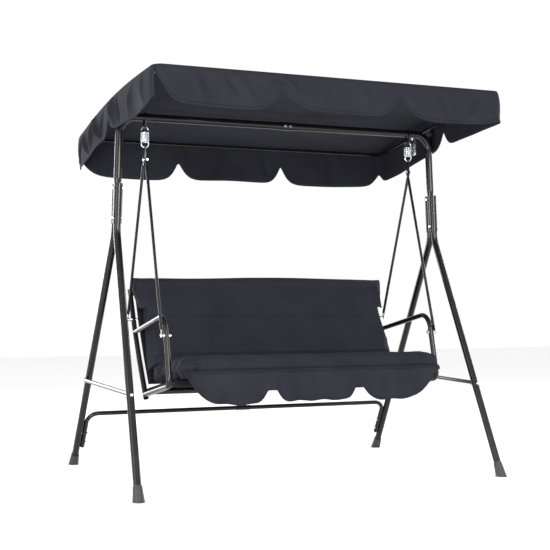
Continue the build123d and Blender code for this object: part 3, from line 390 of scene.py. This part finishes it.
def rim_swing(s, f):
    """Outward move of the valance at a share s of the rim and a share f of its depth."""
    flow = math.sin(2 * math.pi * (7 * s + 0.10)) + 0.7 * math.sin(2 * math.pi * (13 * s + 0.41))
    flow += 0.5 * math.sin(2 * math.pi * (23 * s + 0.77))
    swing = 0.0046 * f**1.3 * flow
    for place, start, end, lean, height, width in CREASES:
        if start <= f <= end:
            inside = (f - start) / (end - start)
            gap = s - place - lean * (f - 0.5) * 0.5
            swing += FOLD_GAIN * height * math.sin(math.pi * inside) * math.exp(-((gap / width) ** 2))
    right_corner = math.exp(-(((s - 0.283) / 0.022) ** 2))
    return swing - 0.011 * right_corner * math.sin(math.pi * f)


def build_canopy():
    """One continuous sheet: the top panel runs over the rim into the scalloped valance."""
    vertices = [
        canopy_top(c / (ACROSS - 1), r / (ALONG - 1)) for r in range(ALONG) for c in range(ACROSS)
    ]
    flat = [tuple(v) for v in vertices]
    waves = rumple(flat, 5.0, 3.1) * 0.005 + rumple(flat, 17.0, 8.4) * 0.0012
    for i, v in enumerate(vertices):
        r, c = divmod(i, ACROSS)
        inset = min(r, ALONG - 1 - r, c, ACROSS - 1 - c) * 0.008
        v.z += waves[i] * min(1.0, max(0.0, inset - 0.03) / 0.1) + 0.0012
    faces = grid_faces(ALONG, ACROSS)
    rim = [("front", c) for c in range(ACROSS - 1)]
    rim += [("right", r * ACROSS + ACROSS - 1) for r in range(ALONG - 1)]
    rim += [("rear", (ALONG - 1) * ACROSS + c) for c in range(ACROSS - 1, 0, -1)]
    rim += [("left", r * ACROSS) for r in range(ALONG - 1, -1, -1)]
    count = len(rim)
    ends = [vertices[i] for _, i in rim]
    steps = [0.0]
    for a, b in zip(ends, ends[1:]):
        steps.append(steps[-1] + (b - a).length)
    columns, cut_area = [], 0.0
    for k, (side, index) in enumerate(rim):
        here = vertices[index]
        before, after = ends[max(k - 2, 0)], ends[min(k + 2, count - 1)]
        along = (after - before).normalized()
        outward = Vector((along.y, -along.x, 0)).normalized()
        depth = valance_depth(side, here.x, here.y)
        s = steps[k] / steps[-1]
        rear_left = math.exp(-(((s - 0.745) / 0.03) ** 2))
        column = [index]
        for j in range(1, DOWN + 1):
            share = j / DOWN
            drop = (depth - HEM) * j / (DOWN - 1) if j < DOWN else depth
            lip = 0.005 * (1 - math.exp(-drop / 0.004))
            belly = 0.006 * math.sin(math.pi * share) + 0.014 * rear_left * share
            out = lip + belly + rim_swing(s, share)
            column.append(len(vertices))
            vertices.append(here + outward * out - Vector((0, 0, drop)))
        columns.append(column)
        if k:
            cut_area += depth * (steps[k] - steps[k - 1])
    for left, right in zip(columns, columns[1:]):
        for j in range(DOWN):
            faces.append((right[j], left[j], left[j + 1], right[j + 1]))
    cover = new_object("canopy_cover_sheet", vertices, faces, "canopy_fabric")
    bm = bmesh.new()
    bm.from_mesh(cover.data)
    bmesh.ops.recalc_face_normals(bm, faces=bm.faces)
    bm.to_mesh(cover.data)
    bm.free()
    hem = build_hem(vertices, columns)
    ridge = [vertices[i] for _, i in rim]
    path = [p + Vector((0, 0, CLOTH / 2)) for p in ridge]
    welt = tube_mesh("canopy_rim_welt", path, 0.0014, "canopy_fabric")
    thicken(cover, CLOTH)
    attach(cover, "canopy")
    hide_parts("canopy_cover")
    for extra in (hem, welt):
        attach(extra, "canopy")


def build_hem(vertices, columns):
    """The turned-up band along the scalloped edge, a little proud of the cloth."""
    points, faces = [], []
    for k, column in enumerate(columns):
        high, low = vertices[column[-2]], vertices[column[-1]]
        before, after = columns[max(k - 1, 0)], columns[min(k + 1, len(columns) - 1)]
        along = vertices[after[-2]] - vertices[before[-2]]
        out = Vector((along.y, -along.x, 0)).normalized() * CLOTH
        points += [high + out, low + out]
        if k:
            a = 2 * k
            faces.append((a, a - 2, a - 1, a + 1))
    hem = new_object("canopy_hem", points, faces, "canopy_fabric")
    thicken(hem, 0.001)
    return hem


# ------------------------------------------------------------------ cushions

VOXEL = 0.006
FIRST_SHRINK = 0.007
SIM_FRAMES = 20
REST_GAP = 0.0002


def closed_copy(name, node):
    """A remeshed copy of a CAD soft solid."""
    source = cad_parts[node]
    obj = bpy.data.objects.new(name, source.data.copy())
    SCENE.collection.objects.link(obj)
    remesh = obj.modifiers.new("remesh", "REMESH")
    remesh.mode = "VOXEL"
    remesh.voxel_size = VOXEL
    apply_modifiers(obj)
    return obj


def inflate(obj, cap):
    """Blows the pad up as stuffed cloth, with no point moving further than cap."""
    rest = points_of(obj)
    cloth = obj.modifiers.new("Cloth", "CLOTH")
    cloth.settings.use_pressure = True
    cloth.settings.uniform_pressure_force = 4.0
    cloth.settings.effector_weights.gravity = 0.0
    cloth.settings.quality = 4
    cloth.settings.mass = 0.3
    cloth.settings.tension_stiffness = 12
    cloth.settings.compression_stiffness = 12
    cloth.settings.shear_stiffness = 4
    cloth.settings.bending_stiffness = 0.4
    cloth.collision_settings.use_collision = False
    cloth.point_cache.frame_start = 1
    cloth.point_cache.frame_end = SIM_FRAMES
    for number in range(1, SIM_FRAMES + 1):
        SCENE.frame_set(number)
    depsgraph = bpy.context.evaluated_depsgraph_get()
    made = obj.evaluated_get(depsgraph).to_mesh()
    co = np.zeros(len(made.vertices) * 3, np.float32)
    made.vertices.foreach_get("co", co)
    move = co.reshape(-1, 3).astype(float) - rest
    obj.modifiers.clear()
    SCENE.frame_set(1)
    length = np.linalg.norm(move, axis=1, keepdims=True)
    put_points(obj, rest + move * np.minimum(1.0, cap / np.maximum(length, 1e-9)))


def subdivide(obj):
    """Smooths a mesh by one level of subdivision."""
    smooth = obj.modifiers.new("subdivision", "SUBSURF")
    smooth.levels = 1
    smooth.render_levels = 1
    apply_modifiers(obj)


def fit_box(obj, low, high):
    """Stretches the pad evenly so that its box is the one given."""
    points = points_of(obj)
    least, most = points.min(0), points.max(0)
    share = (points - least) / (most - least)
    put_points(obj, np.array(low) + share * (np.array(high) - np.array(low)))


def keep_within(obj, node, allowed):
    """Holds the pad inside its CAD solid, give or take what allowed says for each direction."""
    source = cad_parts[node]
    mesh = source.data
    tree = BVHTree.FromPolygons([v.co for v in mesh.vertices], [p.vertices for p in mesh.polygons])
    points = points_of(obj)
    for i, p in enumerate(points):
        near, normal, _, _ = tree.find_nearest(Vector(p))
        out = (Vector(p) - near).dot(normal)
        proud = allowed(near, normal)
        if out > proud:
            points[i] = Vector(p) - normal * (out - proud)
    put_points(obj, points)


def furrow(points, normals, distance, depth, width, mask):
    """Pulls the surface in along a seam line, given each point's distance from it."""
    pull = depth * np.exp(-((distance / width) ** 2)) * mask
    return points - normals * pull[:, None]


def smoothly(x, low, high):
    """A soft step from 0 at low to 1 at high."""
    t = np.clip((x - low) / (high - low), 0, 1)
    return t * t * (3 - 2 * t)


def soft_pad(name, node, cap):
    """A pad blown up from its CAD solid, a little smaller than it to begin with."""
    obj = closed_copy(name, node)
    put_points(obj, points_of(obj) - normals_of(obj) * FIRST_SHRINK)
    inflate(obj, cap)
    subdivide(obj)
    return obj


def finish_pad(obj, node):
    """Gives a pad its cloth and says what it rides and replaces."""
    obj.data.materials.clear()
    obj.data.materials.append(MATERIALS["cushion_fabric"])
    obj.data.polygons.foreach_set("use_smooth", [True] * len(obj.data.polygons))
    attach(obj, "seat")
    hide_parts(node)


SEAT_LOW, SEAT_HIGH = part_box("seat_cushion")
BACK_LOW, BACK_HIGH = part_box("back_cushion")
FLAP_LOW, FLAP_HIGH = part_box("seat_front_flap")
SEAT_SEAM_Z = FLAP_HIGH.z - 0.017
FLAP_DEPTH = 0.129
JOIN_X = 0.172
BACK_STEP_Z = 0.672
BACK_STEP_WIDTH = 0.022
BACK_TOP_Z = BACK_HIGH.z - 0.03
BACK_RISE = 0.022
NOTCH_X = 0.187


def build_seat_cushion():
    """The boxed seat pad: crowned top, a seam along its front and one join in its front."""
    obj = soft_pad("seat_cushion_pad", "seat_cushion", 0.024)

    def proud(near, normal):
        if normal.z < -0.5:
            return -REST_GAP
        if abs(normal.x) > 0.6:
            return 0.002
        if normal.y < -0.5:
            return 0.001 if near.z < FLAP_HIGH.z else 0.004
        return 0.012 if normal.z > 0.6 else 0.002

    fit_box(obj, SEAT_LOW, SEAT_HIGH + Vector((0, 0, 0.004)))
    points, normals = points_of(obj), normals_of(obj)
    top = smoothly(normals[:, 2], 0.2, 0.8)
    front = smoothly(-normals[:, 1], 0.4, 0.9)
    lumps = rumple(points, 9.0, 1.7) * 0.0035 + rumple(points, 26.0, 5.2) * 0.0010
    points = points + normals * (lumps * (0.35 + 0.65 * top))[:, None]
    across = rumple(points * np.array([0.5, 1.0, 3.0]), 22.0, 9.1) * 0.0016
    points = points + normals * (across * front)[:, None]
    points = furrow(points, normals, points[:, 2] - SEAT_SEAM_Z, 0.004, 0.0035, front)
    over = smoothly(points[:, 2], SEAT_SEAM_Z, SEAT_SEAM_Z + 0.02)
    points = furrow(points, normals, points[:, 0] - JOIN_X, 0.003, 0.0035, front * over)
    put_points(obj, points)
    keep_within(obj, "seat_cushion", proud)
    finish_pad(obj, "seat_cushion")


def build_back_cushion():
    """The back pad: thin, gently crowned, with soft folds near its lower edge."""
    obj = soft_pad("back_cushion_pad", "back_cushion", 0.022)

    def proud(near, normal):
        if normal.y > 0.5:
            return -REST_GAP if near.z < BACK_TOP_Z else BACK_RISE
        if abs(normal.x) > 0.6:
            return 0.002
        if normal.z < -0.3 or near.z < BACK_LOW.z + 0.06:
            return 0.0005
        return BACK_RISE if normal.z > 0.5 or near.z > BACK_TOP_Z else 0.010

    fit_box(obj, BACK_LOW, BACK_HIGH + Vector((0, 0, 0.018)))
    points = points_of(obj)
    spread = np.maximum(0.06, smoothly(points[:, 2], BACK_STEP_Z + 0.005, BACK_STEP_Z + 0.09))
    beyond = np.maximum(0.0, np.abs(points[:, 0]) - (BACK_HIGH.x - BACK_STEP_WIDTH))
    points[:, 0] -= np.sign(points[:, 0]) * beyond * (1 - spread)
    upper = smoothly(points[:, 2], BACK_STEP_Z, BACK_HIGH.z)
    points[:, 2] += 0.004 * np.sin(points[:, 0] * 7.0 + 1.2) * upper
    put_points(obj, points)
    points, normals = points_of(obj), normals_of(obj)
    front = smoothly(-normals[:, 1], 0.3, 0.8)
    low = 1 - smoothly(points[:, 2], BACK_LOW.z + 0.05, BACK_LOW.z + 0.2)
    lumps = rumple(points, 6.0, 2.9) * 0.004 + rumple(points, 19.0, 7.7) * 0.0011
    points = points + normals * (lumps * front)[:, None]
    folds = rumple(points * np.array([0.6, 1.0, 2.4]), 16.0, 4.4) * 0.0035
    points = points + normals * (folds * front * low)[:, None]
    rim = BACK_TOP_Z + 0.004 * np.sin(points[:, 0] * 9.0)
    points = furrow(points, normals, points[:, 2] - rim, 0.0022, 0.0040, front)
    upper = smoothly(points[:, 2], BACK_LOW.z + 0.13, BACK_LOW.z + 0.2)
    points = furrow(points, normals, points[:, 0] + 0.165, 0.0016, 0.0030, front * upper)
    put_points(obj, points)
    keep_within(obj, "back_cushion", proud)
    finish_pad(obj, "back_cushion")


def build_flap():
    """The scalloped flap sewn to the seat pad's front seam."""
    half = (FLAP_HIGH.x - FLAP_LOW.x) / 2
    columns, rows = 276, 30
    notches = [(-NOTCH_X, 0.081, 0.026, 0.022, 1.25), (NOTCH_X, 0.081, 0.022, 0.026, 1.25)]
    notches += [(-half - 0.016, 0.010, 0.05, 0.062, 1.5), (half + 0.014, 0.018, 0.062, 0.05, 1.6)]
    face_y = FLAP_LOW.y + 0.0022
    vertices, hem_edge, area = [], [], 0.0
    for r in range(rows):
        for c in range(columns):
            x = FLAP_LOW.x + 2 * half * c / (columns - 1)
            full = FLAP_DEPTH - 0.004 * math.cos(11 * x) - 0.002 * math.sin(63 * x)
            depth = scallop(x, full, notches, 0.016)
            if r < rows - 1:
                drop = (depth - 0.010) * r / (rows - 2)
            else:
                drop = depth
                area += depth * 2 * half / (columns - 1)
            share = r / (rows - 1)
            wave = math.sin(x * 21 + 0.6) + 0.7 * math.sin(x * 47 + 2.0) + 0.4 * math.sin(x * 83 + 4.1)
            out = 0.0050 * share**1.4 * wave + 0.012 * share**1.2 + 0.0025 * math.exp(-drop / 0.004)
            tuck = 0.004 * share * math.exp(-(((abs(x) - NOTCH_X) / 0.018) ** 2))
            sewn_in = 0.012 * math.exp(-drop / 0.003)
            y = face_y - max(0.0, out) + tuck + sewn_in
            vertices.append(Vector((x, y, SEAT_SEAM_Z + 0.004 - drop)))
    flat = [tuple(v) for v in vertices]
    creases = rumple(np.array(flat) * np.array([1.0, 1.0, 0.45]), 24.0, 6.6) * 0.0022
    for i, v in enumerate(vertices):
        v.y += creases[i] * (i // columns) / rows
    flap = new_object("seat_flap_sheet", vertices, grid_faces(rows, columns), "cushion_fabric")
    for c in range(columns):
        high = vertices[(rows - 2) * columns + c]
        low = vertices[(rows - 1) * columns + c]
        hem_edge += [high + Vector((0, -0.0011, 0)), low + Vector((0, -0.0011, 0))]
    faces = [(2 * c - 2, 2 * c - 1, 2 * c + 1, 2 * c) for c in range(1, columns)]
    hem = new_object("seat_flap_hem", hem_edge, faces, "cushion_fabric")
    third_row = vertices[2 * columns : 3 * columns]
    welt_path = [v + Vector((0, -0.0040, -0.0005)) for v in third_row]
    welt = tube_mesh("seat_flap_welt", welt_path, 0.0022, "cushion_fabric")
    thicken(flap, CLOTH)
    thicken(hem, 0.0009)
    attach(flap, "seat")
    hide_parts("seat_front_flap")
    for extra in (hem, welt):
        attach(extra, "seat")


# ------------------------------------------------------------------ slings

def wrapped(centre, radius, start, end, steps=14):
    """Points of an arc round a tube, angles in degrees from +Y towards +Z."""
    angles = [math.radians(start + (end - start) * k / steps) for k in range(steps + 1)]
    return [(centre[0] + radius * math.cos(a), centre[1] + radius * math.sin(a)) for a in angles]


def tube_centre(node):
    """The middle of a cross tube in the YZ plane, and its radius."""
    low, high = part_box(node)
    return ((low.y + high.y) / 2, (low.z + high.z) / 2), (high.z - low.z) / 2


def lay_sling(name, node, profile, half, sag, direction):
    """A sling as a sheet that follows a profile in the YZ plane and sags along direction."""
    columns = 121
    vertices = []
    total = len(profile) - 1
    for r, (y, z) in enumerate(profile):
        for c in range(columns):
            x = -half + 2 * half * c / (columns - 1)
            share = r / total
            give = sag * math.sin(math.pi * share) * (1 - (x / half) ** 4)
            vertices.append(Vector((x, y + direction[0] * give, z + direction[1] * give)))
    sling = new_object(name, vertices, grid_faces(len(profile), columns), "sling_fabric")
    length = sum(math.dist(a, b) for a, b in zip(profile, profile[1:]))
    thicken(sling, 0.0016)
    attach(sling, "seat")
    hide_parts(node)
    return sling, length


def build_slings():
    """Seat and back slings, hemmed round the cross tubes."""
    front, radius = tube_centre("seat_front_tube")
    rear, _ = tube_centre("seat_rear_tube")
    top, _ = tube_centre("back_top_tube")
    half = (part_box("seat_sling")[1].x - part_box("seat_sling")[0].x) / 2
    skin = radius + 0.0014
    slope = math.degrees(math.atan2(rear[1] - front[1], rear[0] - front[0]))
    start = wrapped(front, skin, 300 + slope, 90 + slope)
    end = wrapped(rear, skin, 90 + slope, -100 + slope)
    profile = start + [
        (
            start[-1][0] + (end[0][0] - start[-1][0]) * k / 20,
            start[-1][1] + (end[0][1] - start[-1][1]) * k / 20,
        )
        for k in range(1, 20)
    ] + end
    seat, length = lay_sling("seat_sling_sheet", "seat_sling", profile, half, 0.004, (0, -1))
    corners = points_of(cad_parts["back_sling"])
    edge = corners[corners[:, 0] > corners[:, 0].max() - 1e-4][:, 1:]
    pairs = sorted({(round(float(y), 4), round(float(z), 4)) for y, z in edge}, key=lambda p: p[1])
    rows = [
        ((a[0] + b[0]) / 2, (a[1] + b[1]) / 2)
        for a, b in zip(pairs[::2], pairs[1::2])
    ]
    path = []
    for a, b in zip(rows, rows[1:]):
        path += [(a[0] + (b[0] - a[0]) * k / 12, a[1] + (b[1] - a[1]) * k / 12) for k in range(12)]
    lean = math.degrees(math.atan2(rows[-1][1] - rows[-2][1], rows[-1][0] - rows[-2][0]))
    over = wrapped(top, skin + 0.0008, lean + 90, lean - 110)
    back, length = lay_sling("back_sling_sheet", "back_sling", path + over, half, 0.003, (1, -0.4))


# ------------------------------------------------------------------ stage

def soft_light(name, place, target, size, power):
    """A rectangular softbox that faces its target."""
    data = bpy.data.lights.new(name, "AREA")
    data.shape = "RECTANGLE"
    data.size, data.size_y = size
    data.energy = power
    lamp = bpy.data.objects.new(name, data)
    SCENE.collection.objects.link(lamp)
    lamp.location = place
    lamp.rotation_euler = (Vector(target) - Vector(place)).to_track_quat("-Z", "Y").to_euler()
    return lamp


def build_stage():
    """Pale floor, soft studio light and the camera."""
    floor_mesh = bpy.data.meshes.new("floor")
    reach = 14.0
    corners = [(-reach, -reach, 0), (reach, -reach, 0), (reach, reach, 0), (-reach, reach, 0)]
    floor_mesh.from_pydata(corners, [], [(0, 1, 2, 3)])
    floor = bpy.data.objects.new("floor", floor_mesh)
    SCENE.collection.objects.link(floor)
    n = Nodes("studio_floor")
    n.put(Base_Color=n.blend(n.span(n.noise(0.8), 0, 1), (0.91, 0.91, 0.91, 1), (0.93, 0.93, 0.93, 1)))
    n.put(Roughness=0.9, Specular_IOR_Level=0.0)
    floor_mesh.materials.append(n.material)

    world = bpy.data.worlds.new("studio")
    world.use_nodes = True
    world.node_tree.nodes["Background"].inputs["Color"].default_value = (1, 1, 1, 1)
    world.node_tree.nodes["Background"].inputs["Strength"].default_value = 1.0
    SCENE.world = world
    soft_light("left_softbox", (-4.2, -1.6, 1.5), (0, 0, 0.8), (0.9, 2.8), 60)
    soft_light("left_low_strip", (-2.7, -2.2, 0.55), (-0.6, 0, 0.6), (0.7, 1.3), 80)
    soft_light("front_softbox", (0.4, -5.6, 2.2), (0, 0, 0.9), (2.6, 2.0), 330)
    soft_light("rear_panel", (-2.2, 4.6, 1.5), (-0.5, 0, 0.7), (2.0, 2.2), 120)
    soft_light("right_softbox", (4.2, 0.8, 1.8), (0, 0, 0.8), (0.8, 2.6), 120)

    yaw, pitch, roll = math.radians(22.166), math.radians(2.093), math.radians(-0.385)
    ahead = Vector((math.sin(yaw) * math.cos(pitch), math.cos(yaw) * math.cos(pitch), math.sin(pitch)))
    level = Vector((math.cos(yaw), -math.sin(yaw), 0))
    lift = level.cross(ahead)
    right = level * math.cos(roll) + lift * math.sin(roll)
    up = lift * math.cos(roll) - level * math.sin(roll)
    data = bpy.data.cameras.new("camera")
    data.lens = 72.5
    data.sensor_width = 36.0
    data.clip_end = 60
    camera = bpy.data.objects.new("camera", data)
    SCENE.collection.objects.link(camera)
    turn = Matrix((right, up, -ahead)).transposed().to_4x4()
    camera.matrix_world = Matrix.Translation((-1.7816, -4.3289, 0.6536)) @ turn
    SCENE.camera = camera
    SCENE.view_settings.view_transform = "Standard"
    SCENE.view_settings.look = "None"


dress_cad_nodes()
build_canopy()
build_seat_cushion()
build_back_cushion()
build_flap()
build_slings()
build_stage()
